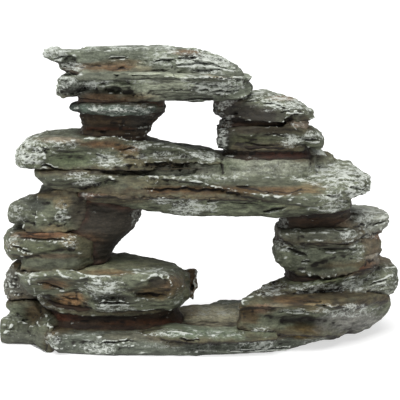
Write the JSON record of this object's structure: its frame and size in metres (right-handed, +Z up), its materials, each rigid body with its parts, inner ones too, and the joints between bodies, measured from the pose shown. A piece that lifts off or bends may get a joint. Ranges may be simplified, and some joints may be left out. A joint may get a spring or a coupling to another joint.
{
  "type": "aquarium cave ornament",
  "caption": "Resin cave ornament for an aquarium, sculpted as stacked split slate with a wide cave below and a small window above.",
  "frame": {"origin": "on the flat underside of the base slab, below the middle of the ornament", "axes": "+X to the right along the ornament's length as its front is seen, front towards -Y, +Z up"},
  "size_m": [0.262, 0.108, 0.1925],
  "materials": {
    "slate": "filled resin, cast rough, painted green-grey with pale dry-brushed edges and rust stains, matte",
    "putty": "filled resin putty, tooled smooth, painted dark brown, matte"
  },
  "bodies": {
    "root": {"base_slab": "slate", "base_left_stone": "slate", "base_leaf": "slate", "left_boulder": "slate", "left_rear_block": "slate", "left_rear_stone": "slate", "left_middle_stone": "slate", "left_top_stone": "slate", "shelf_lower_leaf": "slate", "shelf_middle_leaf": "slate", "shelf_upper_leaf": "slate", "shelf_rear_flake": "slate", "right_lower_slab": "slate", "right_upper_slab": "slate", "right_lower_stone": "slate", "right_middle_slab": "slate", "right_top_stone": "slate", "cap_lower_leaf": "slate", "cap_upper_leaf": "slate", "cap_chip": "slate", "neck_plate": "slate", "foot_slab": "slate", "pebble": "slate", "wedge_stone": "slate", "left_joint": "putty", "left_core": "putty", "right_joint": "putty", "right_core": "putty", "left_lower_neck": "putty", "left_upper_neck": "putty", "foot_joint": "putty", "right_neck": "putty", "cap_seat": "putty"}
  },
  "joints": []
}
